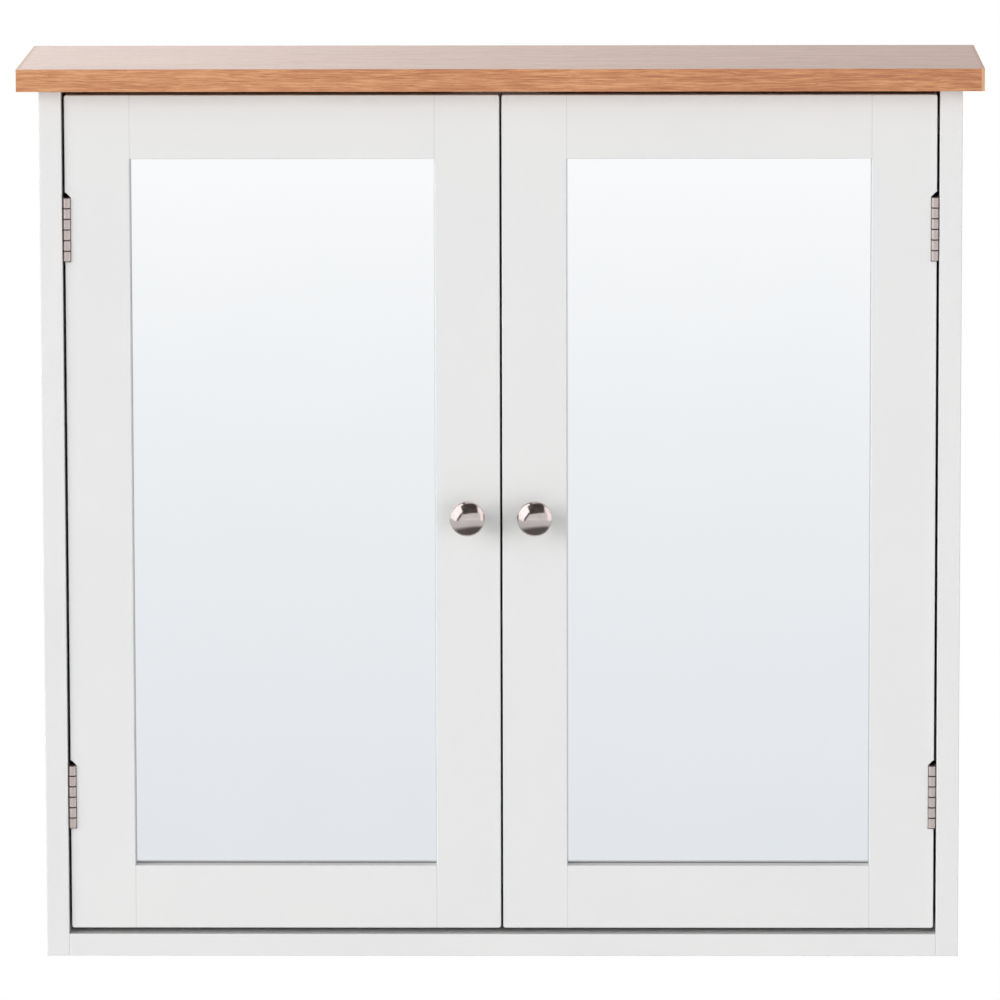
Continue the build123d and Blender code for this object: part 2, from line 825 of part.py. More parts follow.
def left_door():
    """Every piece of the left door by its name without the side."""
    holes = door_holes()
    half = dowel_length / 2
    pieces = door_members(holes)
    pieces["door_mirror"] = mirror_glass()
    pieces["door_backing"] = mirror_backing(holes)
    pieces["door_backing_screws"] = screws(backing_screw_starts(), (0, -1, 0), backing_screw)
    pieces["door_dowels"] = group([dowel(middle, way, half, half) for middle, way in door_dowel_places()])
    pieces["door_knob"] = knob()
    pieces["door_knob_screw"] = knob_screw()
    pieces["door_strike_plate"] = strike_plate()
    pieces["door_strike_screw"] = screw(strike_screw_start(), (0, -1, 0), **strike_screw)
    pieces["door_hinge_screws"] = screws(door_leaf_screw_starts(), (1, 0, 0), hinge_screw)
    return pieces


def left_hinges():
    """Every leaf, pin and side screw of the two left hinges by its name without the side."""
    pieces = {"hinge_pins": group(hinge_pins())}
    pieces["side_hinge_screws"] = screws(side_leaf_screw_starts(), (-1, 0, 0), hinge_screw)
    for level, middle in hinge_heights.items():
        pieces[f"{level}_hinge_side_leaf"] = hinge_leaf(middle, door_side=False)
        pieces[f"{level}_hinge_door_leaf"] = hinge_leaf(middle, door_side=True)
    return pieces


def mirrored_pieces(pieces):
    """Left pieces under their left names and, mirrored, under their right ones."""
    both = {}
    for name, shape in pieces.items():
        both[f"left_{name}"] = shape
        copies = [mirror(one, about=Plane.YZ) for one in shape.solids()]
        both[f"right_{name}"] = copies[0] if len(copies) == 1 else group(copies)
    return both


def carcass(holes):
    """Every fixed piece of the cabinet but the sides and the hinges."""
    dowels = [dowel(*place, dowel_depth_in_face, into_end) for place in carcass_dowel_places]
    return {
        "top_board": top_core(holes),
        "top_edging": top_edging(),
        "bottom_board": bottom_board(holes),
        "back_panel": back_panel(holes),
        "hanging_rail": hanging_rail(holes),
        "cam_locks": group([cam_lock(*place) for place in cams]),
        "cam_bolts": group([cam_bolt(*place) for place in cams]),
        "cam_caps": group([cam_cap(*place) for place in cams]),
        "carcass_dowels": group(dowels),
        "back_panel_screws": screws(back_screw_starts(), (0, -1, 0), back_screw),
        "shelf_pins": group(shelf_pins()),
        "catch_housing": catch_housing(),
        "catch_magnets": group([magnet(side) for side in (-1, 1)]),
        "catch_pole_plates": group(pole_plates(-1) + pole_plates(1)),
        "catch_screws": screws(catch_screw_starts(), (0, 0, 1), catch_screw),
        "upper_shelf": shelf(upper_shelf_row_index),
        "lower_shelf": shelf(lower_shelf_row_index),
    }


os.makedirs("parts", exist_ok=True)
board_holes = carcass_holes()
model = carcass(board_holes)
model.update(mirrored_pieces({"side_panel": left_side_panel(board_holes)}))
model.update(mirrored_pieces(left_hinges()))
model.update(mirrored_pieces(left_door()))
for piece_name, piece in model.items():
    save(piece_name, piece)
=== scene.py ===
"""The looks of a wall-hung bathroom cabinet: white paint, wood-effect top, mirror doors, nickel fittings.

Metres. X runs to the right, Y from the room to the wall, Z up. The wall is the plane Y = 0.
"""

from math import asin, cos, pi, radians, sin

import bpy
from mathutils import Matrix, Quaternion, Vector


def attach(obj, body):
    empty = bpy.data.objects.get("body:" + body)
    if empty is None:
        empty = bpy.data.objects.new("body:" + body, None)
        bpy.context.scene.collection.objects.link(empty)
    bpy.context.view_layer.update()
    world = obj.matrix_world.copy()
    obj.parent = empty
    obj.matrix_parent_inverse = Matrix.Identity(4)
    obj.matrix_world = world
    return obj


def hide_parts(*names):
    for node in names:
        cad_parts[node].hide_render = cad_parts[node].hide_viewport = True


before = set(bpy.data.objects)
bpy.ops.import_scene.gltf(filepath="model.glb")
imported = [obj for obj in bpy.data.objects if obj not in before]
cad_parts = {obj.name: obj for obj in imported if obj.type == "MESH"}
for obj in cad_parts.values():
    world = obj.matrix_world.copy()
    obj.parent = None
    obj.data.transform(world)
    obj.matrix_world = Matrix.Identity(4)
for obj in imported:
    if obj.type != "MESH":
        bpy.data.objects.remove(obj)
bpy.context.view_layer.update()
bpy.ops.object.select_all(action="DESELECT")


# Carcass boards
# The sides, the bottom, the rail and the loose shelves are fibreboard, sprayed with satin white
# paint. The spray leaves a faint orange peel and the paint is a little uneven in gloss.

def finish(name, colour, roughness, metallic=0.0):
    """A new material with its colour, gloss and metal set on the shader."""
    material = bpy.data.materials.new(name)
    material.use_nodes = True
    shader = material.node_tree.nodes["Principled BSDF"]
    shader.inputs["Base Color"].default_value = (*colour, 1)
    shader.inputs["Roughness"].default_value = roughness
    shader.inputs["Metallic"].default_value = metallic
    return material


def add(material, kind, **settings):
    """One more node in a material."""
    node = material.node_tree.nodes.new(kind)
    for setting, value in settings.items():
        setattr(node, setting, value)
    return node


def link(material, source, target):
    """Joins two sockets of a material."""
    material.node_tree.links.new(source, target)


def own_coordinates(material):
    """The piece's own coordinates, in metres."""
    return add(material, "ShaderNodeTexCoord").outputs["Object"]


def mottle(material, scale, detail=3.0, coordinates=None):
    """Cloudy noise over the piece, with so many clouds to the metre along each axis."""
    mapping = add(material, "ShaderNodeMapping")
    mapping.inputs["Scale"].default_value = scale
    link(material, coordinates or own_coordinates(material), mapping.inputs["Vector"])
    noise = add(material, "ShaderNodeTexNoise")
    noise.inputs["Scale"].default_value = 1.0
    noise.inputs["Detail"].default_value = detail
    link(material, mapping.outputs["Vector"], noise.inputs["Vector"])
    return noise.outputs["Fac"]


def spread_over(material, pattern, low, high, start=0.3, end=0.7):
    """A pattern brought to run between two values."""
    ranged = add(material, "ShaderNodeMapRange")
    ranged.inputs["From Min"].default_value = start
    ranged.inputs["From Max"].default_value = end
    ranged.inputs["To Min"].default_value = low
    ranged.inputs["To Max"].default_value = high
    link(material, pattern, ranged.inputs["Value"])
    return ranged.outputs["Result"]


def shaded(material, pattern, stops):
    """A pattern run through colours. The stops list (place, colour)."""
    node = add(material, "ShaderNodeValToRGB")
    elements = node.color_ramp.elements
    while len(elements) < len(stops):
        elements.new(0.5)
    for element, (place, colour) in zip(elements, stops):
        element.position = place
        element.color = (*colour, 1)
    link(material, pattern, node.inputs["Fac"])
    return node.outputs["Color"]


def feed(material, source, socket):
    """Sends a pattern to a socket of the material's shader."""
    link(material, source, material.node_tree.nodes["Principled BSDF"].inputs[socket])


def emboss(material, pattern, depth):
    """Raises and sinks the surface by a pattern, so many metres deep."""
    bump = add(material, "ShaderNodeBump")
    bump.inputs["Distance"].default_value = depth
    bump.inputs["Strength"].default_value = 1.0
    link(material, pattern, bump.inputs["Height"])
    feed(material, bump.outputs["Normal"], "Normal")


def dress(material, *nodes):
    """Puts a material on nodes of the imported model."""
    for node in nodes:
        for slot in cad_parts[node].material_slots:
            slot.material = material


PAINT_DARK = (0.775, 0.778, 0.776)
PAINT_LIGHT = (0.800, 0.800, 0.796)
PEEL_PER_METRE = 520
PEEL_DEPTH = 0.00002


def painted(name):
    """Sprayed satin white paint."""
    material = finish(name, PAINT_LIGHT, 0.38)
    clouds = mottle(material, (9, 9, 9), 4)
    feed(material, shaded(material, clouds, [(0.3, PAINT_DARK), (0.7, PAINT_LIGHT)]), "Base Color")
    peel = mottle(material, (PEEL_PER_METRE,) * 3, 2)
    feed(material, spread_over(material, peel, 0.34, 0.44), "Roughness")
    emboss(material, peel, PEEL_DEPTH)
    return material


board_paint = painted("board_paint")
dress(board_paint, "left_side_panel", "right_side_panel", "bottom_board", "hanging_rail")
dress(board_paint, "upper_shelf", "lower_shelf")


# Door frames
# Two stiles and two rails of painted fibreboard make each frame. The rails butt against the full
# height stiles, and the paint has cracked to a hair line along each of the four joints.

STILE_INNER_X = 0.0412
STILE_OUTER_X = 0.2309
OPENING_MIDDLE_Z = -0.237
OPENING_HALF_HEIGHT = 0.2235
SEAM_HALF_WIDTH = 0.0005
SEAM_SHADE = (0.84, 0.84, 0.83)


def own_axes(material, kind="Object"):
    """The piece's own X, Y and Z, or with "Normal" those of the way its surface faces."""
    axes = add(material, "ShaderNodeSeparateXYZ")
    link(material, add(material, "ShaderNodeTexCoord").outputs[kind], axes.inputs["Vector"])
    return axes.outputs


def mixed(material, factor, first, second, blend="MIX"):
    """A colour pattern mixed with a second one, or with a plain colour, by a factor."""
    mix = add(material, "ShaderNodeMix", data_type="RGBA", blend_type=blend)
    link(material, factor, mix.inputs["Factor"])
    link(material, first, mix.inputs["A"])
    if isinstance(second, tuple):
        mix.inputs["B"].default_value = (*second, 1)
    else:
        link(material, second, mix.inputs["B"])
    return mix.outputs["Result"]


def arithmetic(material, operation, first, second=0.0):
    """One step of arithmetic in a material, on sockets or numbers."""
    node = add(material, "ShaderNodeMath", operation=operation)
    for value, socket in zip((first, second), node.inputs):
        if isinstance(value, (int, float)):
            socket.default_value = value
        else:
            link(material, value, socket)
    return node.outputs["Value"]


def joint_lines(material):
    """One on the butt joints of a door frame, none elsewhere."""
    axes = own_axes(material)
    across = arithmetic(material, "ABSOLUTE", axes["X"])
    near = []
    for joint_x in (STILE_INNER_X, STILE_OUTER_X):
        off = arithmetic(material, "ABSOLUTE", arithmetic(material, "SUBTRACT", across, joint_x))
        near.append(spread_over(material, off, 1.0, 0.0, 0.0, SEAM_HALF_WIDTH))
    line = arithmetic(material, "MAXIMUM", *near)
    height = arithmetic(material, "SUBTRACT", axes["Z"], OPENING_MIDDLE_Z)
    from_middle = arithmetic(material, "ABSOLUTE", height)
    on_rail = arithmetic(material, "GREATER_THAN", from_middle, OPENING_HALF_HEIGHT)
    return arithmetic(material, "MULTIPLY", line, on_rail)


frame_paint = finish("frame_paint", PAINT_LIGHT, 0.36)
frame_clouds = mottle(frame_paint, (7, 7, 7), 4)
frame_white = shaded(frame_paint, frame_clouds, [(0.3, PAINT_DARK), (0.7, PAINT_LIGHT)])
seamed_white = mixed(frame_paint, joint_lines(frame_paint), frame_white, SEAM_SHADE, "MULTIPLY")
feed(frame_paint, seamed_white, "Base Color")
frame_peel = mottle(frame_paint, (PEEL_PER_METRE,) * 3, 2)
feed(frame_paint, spread_over(frame_paint, frame_peel, 0.32, 0.42), "Roughness")
emboss(frame_paint, frame_peel, PEEL_DEPTH)
for side in ("left", "right"):
    for member in ("hinge_stile", "meeting_stile", "top_rail", "bottom_rail"):
        dress(frame_paint, f"{side}_door_{member}")


# Top board
# Chipboard between two sheets of wood-effect laminate, printed like steamed beech, with 2 mm
# edging glued round the front and the ends. The cut back edge shows the bare chips.

GRAIN_DARK = (0.430, 0.153, 0.057)
GRAIN_MIDDLE = (0.570, 0.240, 0.101)
GRAIN_LIGHT = (0.695, 0.355, 0.168)
STREAKS_ALONG = 52
STREAKS_ACROSS = 1200
WAVE_ALONG = 16
WAVE_ACROSS = 30
WAVE_HEIGHT = 0.006
STREAK_SHARE = 0.65
BANDS_BROADER = 6
PORES_FINER = 3
PORE_SHADE = 0.16
GRAIN_DEPTH = 0.00004
TOP_HALF_WIDTH = 0.3
SQUARELY = 0.7
CHIPS_PER_METRE = 420


def along(axis, lengthwise, crosswise):
    """One value for the axis that the grain runs along and another for the other two."""
    return tuple(lengthwise if step == axis else crosswise for step in range(3))


def grain(material, axis):
    """The printed grain: wavy streaks, broad bands and short dark pores along one axis."""
    place = own_coordinates(material)
    wave = mottle(material, along(axis, WAVE_ALONG, WAVE_ACROSS), 2, place)
    bend = add(material, "ShaderNodeVectorMath", operation="MULTIPLY_ADD")
    link(material, wave, bend.inputs[0])
    bend.inputs[1].default_value = along(axis, 0, WAVE_HEIGHT)
    link(material, place, bend.inputs[2])
    wavy = bend.outputs["Vector"]
    stretch = along(axis, STREAKS_ALONG, STREAKS_ACROSS)
    streaks = mottle(material, stretch, 3, wavy)
    bands = mottle(material, tuple(step / BANDS_BROADER for step in stretch), 2, wavy)
    pores = mottle(material, tuple(step * PORES_FINER for step in stretch), 1, wavy)
    body = arithmetic(material, "ADD", arithmetic(material, "MULTIPLY", streaks, STREAK_SHARE),
                      arithmetic(material, "MULTIPLY", bands, 1 - STREAK_SHARE))
    dark_pores = spread_over(material, pores, 0.0, PORE_SHADE, 0.6, 0.72)
    return arithmetic(material, "SUBTRACT", body, dark_pores)


def wood_print(name, roughness):
    """Wood-effect laminate with its grain along X, and along Y on the ends. Painted shade darkens it towards
    the right.
    """
    material = finish(name, GRAIN_MIDDLE, roughness)
    lacquer = material.node_tree.nodes["Principled BSDF"]
    lacquer.inputs["Coat Weight"].default_value = 0.4
    lacquer.inputs["Coat Roughness"].default_value = 0.25
    facing_way = own_axes(material, "Normal")
    on_end = arithmetic(material, "GREATER_THAN", arithmetic(material, "ABSOLUTE", facing_way["X"]), SQUARELY)
    lines = add(material, "ShaderNodeMix", data_type="FLOAT")
    link(material, on_end, lines.inputs["Factor"])
    link(material, grain(material, 0), lines.inputs["A"])
    link(material, grain(material, 1), lines.inputs["B"])
    across = own_axes(material)["X"]
    # Painted shade: the grain pattern, and so the colour, is pushed darker towards the right end, with the
    # left end standing as the better lit one.
    painted_shade_to_right = spread_over(material, across, -0.05, 0.05, -TOP_HALF_WIDTH, TOP_HALF_WIDTH)
    grain_and_painted_shade = arithmetic(material, "SUBTRACT", lines.outputs["Result"], painted_shade_to_right)
    emboss(material, grain_and_painted_shade, GRAIN_DEPTH)
    stops = [(0.37, GRAIN_DARK), (0.505, GRAIN_MIDDLE), (0.64, GRAIN_LIGHT)]
    return material, grain_and_painted_shade, shaded(material, grain_and_painted_shade, stops), facing_way["Y"]


top_laminate, top_grain_and_painted_shade, top_colour, top_facing = wood_print("top_laminate", 0.30)
chips = add(top_laminate, "ShaderNodeTexVoronoi")
chips.inputs["Scale"].default_value = CHIPS_PER_METRE
link(top_laminate, own_coordinates(top_laminate), chips.inputs["Vector"])
chip_colour = shaded(top_laminate, chips.outputs["Distance"],
                     [(0.1, (0.56, 0.42, 0.26)), (0.6, (0.33, 0.22, 0.12))])
cut_back = arithmetic(top_laminate, "GREATER_THAN", top_facing, SQUARELY)
feed(top_laminate, mixed(top_laminate, cut_back, top_colour, chip_colour), "Base Color")
feed(top_laminate, spread_over(top_laminate, top_grain_and_painted_shade, 0.34, 0.26), "Roughness")
dress(top_laminate, "top_board")


# Edging strips
# Thin strips of the same print, ironed on after the board was cut. The end strips lap the front
# one, and the paler cut end of the right one shows as an upright line at the corner.

EDGING_LAP_X = 0.298
CUT_END = (0.66, 0.37, 0.19)

edging, edging_grain_and_painted_shade, edging_colour, edging_facing = wood_print("edging_strip", 0.36)
past_lap = arithmetic(edging, "GREATER_THAN", own_axes(edging)["X"], EDGING_LAP_X)
facing_front = arithmetic(edging, "LESS_THAN", edging_facing, -SQUARELY)
cut_end = arithmetic(edging, "MULTIPLY", past_lap, facing_front)
feed(edging, mixed(edging, cut_end, edging_colour, CUT_END), "Base Color")
feed(edging, spread_over(edging, edging_grain_and_painted_shade, 0.44, 0.34), "Roughness")
dress(edging, "top_edging")


# Back panel and mirror backings
# Pressed hardboard: brown with flecks of fibre on its rough side. The back panel is faced white
# on the side towards the room; the boards behind the mirrors are left plain.

HARDBOARD_DARK = (0.17, 0.095, 0.05)
HARDBOARD_LIGHT = (0.30, 0.185, 0.105)


def pressed_fibre(material):
    """The flecked brown of hardboard."""
    fleck = mottle(material, (260, 260, 260), 6)
    return fleck, shaded(material, fleck, [(0.35, HARDBOARD_DARK), (0.65, HARDBOARD_LIGHT)])


hardboard = finish("hardboard", HARDBOARD_LIGHT, 0.7)
fibre, fibre_colour = pressed_fibre(hardboard)
feed(hardboard, fibre_colour, "Base Color")
emboss(hardboard, fibre, 0.00012)
dress(hardboard, "left_door_backing", "right_door_backing")

faced_hardboard = finish("faced_hardboard", PAINT_LIGHT, 0.6)
faced_fibre, faced_colour = pressed_fibre(faced_hardboard)
room_side = arithmetic(faced_hardboard, "LESS_THAN", own_axes(faced_hardboard, "Normal")["Y"], -SQUARELY)
feed(faced_hardboard, mixed(faced_hardboard, room_side, faced_colour, PAINT_LIGHT), "Base Color")
emboss(faced_hardboard, faced_fibre, 0.00006)
dress(faced_hardboard, "back_panel")


# Mirrors
# Float glass silvered on the back, 4 mm thick, with a faint cool tint. A dark line is painted where the
# glass meets the frame, widest along the bottom: painted shade in that gap, with the glass's ground edge.

BOTTOM_GAP_SHADE_WIDTH = 0.0010
SIDE_GAP_SHADE_WIDTH = 0.0006
GAP_SHADE_AND_EDGE_COLOUR = (0.30, 0.31, 0.31)

silvered_glass = finish("silvered_glass", (0.955, 0.972, 0.985), 0.015, 1.0)
haze = mottle(silvered_glass, (14, 14, 14), 4)
feed(silvered_glass, spread_over(silvered_glass, haze, 0.01, 0.03), "Roughness")
silver = shaded(silvered_glass, haze, [(0.3, (0.948, 0.968, 0.983)), (0.7, (0.958, 0.974, 0.986))])
glass_place = own_axes(silvered_glass)
opening_foot = OPENING_MIDDLE_Z - OPENING_HALF_HEIGHT
from_bottom = arithmetic(silvered_glass, "SUBTRACT", glass_place["Z"], opening_foot)
glass_across = arithmetic(silvered_glass, "ABSOLUTE", glass_place["X"])
from_side = arithmetic(silvered_glass, "MINIMUM",
                       arithmetic(silvered_glass, "SUBTRACT", glass_across, STILE_INNER_X),
                       arithmetic(silvered_glass, "SUBTRACT", STILE_OUTER_X, glass_across))
# Painted shade along the frame's edge, darkest and widest at the bottom and fainter up the sides.
gap_shade_at_foot = spread_over(silvered_glass, from_bottom, 1.0, 0.0, BOTTOM_GAP_SHADE_WIDTH * 0.6, BOTTOM_GAP_SHADE_WIDTH)
gap_shade_at_sides = spread_over(silvered_glass, from_side, 0.5, 0.0, SIDE_GAP_SHADE_WIDTH * 0.5, SIDE_GAP_SHADE_WIDTH)
gap_shade_and_edge_mask = arithmetic(silvered_glass, "MAXIMUM", gap_shade_at_foot, gap_shade_at_sides)
feed(silvered_glass, mixed(silvered_glass, gap_shade_and_edge_mask, silver, GAP_SHADE_AND_EDGE_COLOUR), "Base Color")
dress(silvered_glass, "left_door_mirror", "right_door_mirror")


# Knobs
# Solid zinc turned to a mushroom: a flared foot, a thin waist and a shallow crown over a rolled
# rim, plated in satin nickel. A screw from behind the stile draws each one tight.

KNOB_CENTRE = Vector((-0.02095, -0.1475, -0.237))
KNOB_RADIUS = 0.011
KNOB_HEIGHT = 0.024
CROWN_RADIUS = 0.015
RIM_RADIUS = 0.0016
FOOT_RADIUS = 0.0065
FOOT_HEIGHT = 0.002
FOOT_BEVEL_ACROSS = 0.0003
FOOT_BEVEL_UP = 0.0004
WAIST_RADIUS = 0.0046
WAIST_HEIGHT = 0.0065
BELL = ((0.0090, 0.0050), (0.0115, 0.0060), (0.0140, 0.0075), (0.0160, 0.0091))
RIM_START = 0.75 * pi
RIM_STEPS = 7
CROWN_STEPS = 12
KNOB_SIDES = 64


def knob_rings():
    """The knob's radius at each height from the foot to the crown's middle."""
    rim_middle = KNOB_RADIUS - RIM_RADIUS
    crown_angle = asin(rim_middle / (CROWN_RADIUS - RIM_RADIUS))
    crown_centre = KNOB_HEIGHT - CROWN_RADIUS
    rim_height = crown_centre + (CROWN_RADIUS - RIM_RADIUS) * cos(crown_angle)
    rings = [(FOOT_BEVEL_UP, FOOT_RADIUS), (FOOT_HEIGHT - FOOT_BEVEL_UP, FOOT_RADIUS)]
    rings += [(FOOT_HEIGHT, FOOT_RADIUS - FOOT_BEVEL_ACROSS), (0.0042, 0.0050), (WAIST_HEIGHT, WAIST_RADIUS)]
    rings += BELL
    for step in range(RIM_STEPS + 1):
        angle = RIM_START - (RIM_START - crown_angle) * step / RIM_STEPS
        rings.append((rim_height + RIM_RADIUS * cos(angle), rim_middle + RIM_RADIUS * sin(angle)))
    for step in range(1, CROWN_STEPS):
        angle = crown_angle * (1 - step / CROWN_STEPS)
        rings.append((crown_centre + CROWN_RADIUS * cos(angle), CROWN_RADIUS * sin(angle)))
    return rings


def turn_knob(centre):
    """The knob, raised ring by ring from its foot."""
    bpy.ops.object.select_all(action="DESELECT")
    bpy.ops.mesh.primitive_circle_add(
        vertices=KNOB_SIDES, radius=FOOT_RADIUS - FOOT_BEVEL_ACROSS, fill_type="NGON", location=centre,
        rotation=(pi / 2, 0, 0))
    knob = bpy.context.object
    bpy.ops.object.transform_apply(location=True, rotation=True, scale=True)
    bpy.ops.object.mode_set(mode="EDIT")
    bpy.ops.mesh.select_all(action="SELECT")
    height, radius = 0.0, FOOT_RADIUS - FOOT_BEVEL_ACROSS
    for next_height, next_radius in knob_rings():
        bpy.ops.mesh.extrude_region_move(TRANSFORM_OT_translate={"value": (0, height - next_height, 0)})
        ratio = next_radius / radius
        bpy.ops.transform.resize(value=(ratio, 1, ratio), center_override=centre)
        height, radius = next_height, next_radius
    bpy.ops.mesh.extrude_region_move(TRANSFORM_OT_translate={"value": (0, height - KNOB_HEIGHT, 0)})
    bpy.ops.mesh.merge(type="CENTER")
    bpy.ops.mesh.select_all(action="SELECT")
    bpy.ops.mesh.normals_make_consistent(inside=False)
    bpy.ops.object.mode_set(mode="OBJECT")
    bpy.ops.object.shade_smooth_by_angle(angle=radians(60))
    return knob


knob_nickel = finish("knob_nickel", (0.62, 0.565, 0.55), 0.2, 1.0)
lapping = mottle(knob_nickel, (900, 900, 900), 2)
feed(knob_nickel, spread_over(knob_nickel, lapping, 0.11, 0.17), "Roughness")
tarnish = mottle(knob_nickel, (120, 120, 120), 3)
knob_colour = shaded(knob_nickel, tarnish, [(0.35, (0.60, 0.54, 0.525)), (0.65, (0.65, 0.60, 0.585))])
feed(knob_nickel, knob_colour, "Base Color")
emboss(knob_nickel, lapping, 0.000002)
left_knob = turn_knob(KNOB_CENTRE)
left_knob.name = "left_knob"
left_knob.data.materials.append(knob_nickel)
right_knob = left_knob.copy()
right_knob.data = left_knob.data.copy()
right_knob.name = "right_knob"
bpy.context.scene.collection.objects.link(right_knob)
bpy.ops.object.select_all(action="DESELECT")
right_knob.location.x = -2 * KNOB_CENTRE.x
right_knob.select_set(True)
bpy.context.view_layer.objects.active = right_knob
bpy.ops.object.transform_apply(location=True, rotation=True, scale=True)
for side, knob in (("left", left_knob), ("right", right_knob)):
    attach(knob, f"{side}_door")
    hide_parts(f"{side}_door_knob")


# Hinges
# Pressed butt hinges: each leaf is a strip of steel rolled into three knuckles round a plain pin,
# plated in satin nickel. One leaf is screwed to the side, the other lies in the door's notch. Each
# joint between the knuckles gets a dark line of painted shade, standing for the shadow in its narrow gap.

HINGE_FROM_MIDDLE = 0.1795
HINGE_LENGTH = 0.04
KNUCKLE_PITCH = HINGE_LENGTH / 6
KNUCKLE_END = 0.075
BARREL_BACK_Y = -0.1475
KNUCKLE_GAP_SHADE = (0.12, 0.10, 0.095)

hinge_nickel = finish("hinge_nickel", (0.65, 0.575, 0.55), 0.4, 1.0)
rolling = mottle(hinge_nickel, (2600, 2600, 90), 2)
feed(hinge_nickel, spread_over(hinge_nickel, rolling, 0.34, 0.46), "Roughness")
nickel_colour = shaded(hinge_nickel, rolling, [(0.3, (0.59, 0.515, 0.49)), (0.7, (0.71, 0.635, 0.61))])
hinge_place = own_axes(hinge_nickel)
hinge_height = arithmetic(hinge_nickel, "SUBTRACT", hinge_place["Z"], OPENING_MIDDLE_Z)
from_hinge_middle = arithmetic(hinge_nickel, "SUBTRACT",
                               arithmetic(hinge_nickel, "ABSOLUTE", hinge_height), HINGE_FROM_MIDDLE)
in_knuckles = arithmetic(hinge_nickel, "DIVIDE", from_hinge_middle, KNUCKLE_PITCH)
from_joint = arithmetic(hinge_nickel, "PINGPONG", in_knuckles, 0.5)
# Painted shade: a dark line over each joint between the knuckles on the barrel, for the shadow in the gap.
painted_gap_shade = spread_over(hinge_nickel, from_joint, 1.0, 0.0, KNUCKLE_END * 0.7, KNUCKLE_END)
on_barrel = arithmetic(hinge_nickel, "LESS_THAN", hinge_place["Y"], BARREL_BACK_Y)
knuckle_gap_shade_line = arithmetic(hinge_nickel, "MULTIPLY", painted_gap_shade, on_barrel)
feed(hinge_nickel, mixed(hinge_nickel, knuckle_gap_shade_line, nickel_colour, KNUCKLE_GAP_SHADE), "Base Color")
emboss(hinge_nickel, rolling, 0.00001)
for side in ("left", "right"):
    for level in ("upper", "lower"):
        dress(hinge_nickel, f"{side}_{level}_hinge_side_leaf", f"{side}_{level}_hinge_door_leaf")
    dress(hinge_nickel, f"{side}_hinge_pins")
dress(hinge_nickel, "shelf_pins")


# Screws, bolts and catch plates
# Steel under bright zinc plate, with the fine bloom that the plating bath leaves.

zinc_plate = finish("zinc_plate", (0.62, 0.63, 0.64), 0.3, 1.0)
bloom = mottle(zinc_plate, (700, 700, 700), 3)
feed(zinc_plate, spread_over(zinc_plate, bloom, 0.22, 0.4), "Roughness")
zinc_colour = shaded(zinc_plate, bloom, [(0.3, (0.56, 0.57, 0.56)), (0.7, (0.68, 0.69, 0.71))])
feed(zinc_plate, zinc_colour, "Base Color")
emboss(zinc_plate, bloom, 0.00001)
dress(zinc_plate, "back_panel_screws", "cam_bolts", "catch_screws", "catch_pole_plates")
for side in ("left", "right"):
    dress(zinc_plate, f"{side}_side_hinge_screws")
    for fixing in ("backing_screws", "knob_screw", "strike_plate", "strike_screw", "hinge_screws"):
        dress(zinc_plate, f"{side}_door_{fixing}")


# Cam locks
# Die-cast zinc drums that turn in their pockets and draw the boards together. The caps over them
# are moulded in white plastic.

die_cast = finish("die_cast", (0.42, 0.42, 0.43), 0.5, 1.0)
cast_skin = mottle(die_cast, (480, 480, 480), 5)
cast_colour = shaded(die_cast, cast_skin, [(0.35, (0.36, 0.36, 0.37)), (0.65, (0.50, 0.50, 0.51))])
feed(die_cast, cast_colour, "Base Color")
emboss(die_cast, cast_skin, 0.00003)
dress(die_cast, "cam_locks")

moulded_white = finish("moulded_white", (0.80, 0.80, 0.785), 0.42)
mould_grain = mottle(moulded_white, (1500, 1500, 1500), 2)
feed(moulded_white, spread_over(moulded_white, mould_grain, 0.38, 0.5), "Roughness")
mould_colour = shaded(moulded_white, mould_grain, [(0.3, (0.78, 0.78, 0.765)), (0.7, (0.81, 0.81, 0.797))])
feed(moulded_white, mould_colour, "Base Color")
emboss(moulded_white, mould_grain, 0.00001)
dress(moulded_white, "cam_caps", "catch_housing")


# Catch magnets
# Two blocks of black sintered ferrite, held between the pole plates in the housing.

ferrite = finish("ferrite", (0.03, 0.03, 0.033), 0.62)
sinter = mottle(ferrite, (1100, 1100, 1100), 4)
sinter_colour = shaded(ferrite, sinter, [(0.3, (0.022, 0.022, 0.025)), (0.7, (0.05, 0.05, 0.054))])
feed(ferrite, sinter_colour, "Base Color")
emboss(ferrite, sinter, 0.00002)
dress(ferrite, "catch_magnets")


# Dowels
# Beech pegs, glued in the joints of the carcass and of the door frames.

beech = finish("beech", (0.56, 0.36, 0.19), 0.6)
flecks = mottle(beech, (900, 900, 900), 3)
beech_colour = shaded(beech, flecks, [(0.35, (0.48, 0.29, 0.15)), (0.65, (0.60, 0.40, 0.22))])
feed(beech, beech_colour, "Base Color")
emboss(beech, flecks, 0.00002)
dress(beech, "carcass_dowels", "left_door_dowels", "right_door_dowels")


# Floor
# A plain white studio floor, 1.3 m under the cabinet's holes. Near the cabinet it keeps the
# shadow; further off it goes to pure white. Mirrors and polished metal see it as a pale grey that
# whitens away, with a dark patch under the cabinet and a little to its right.

FLOOR_Z = -1.3
FLOOR_WIDTH = 160
SHADOW_END = 1.4
WHITE_START = 3.2
DARK_FROM_MIDDLE = 0.25
MIRRORED_REACH = 16.0

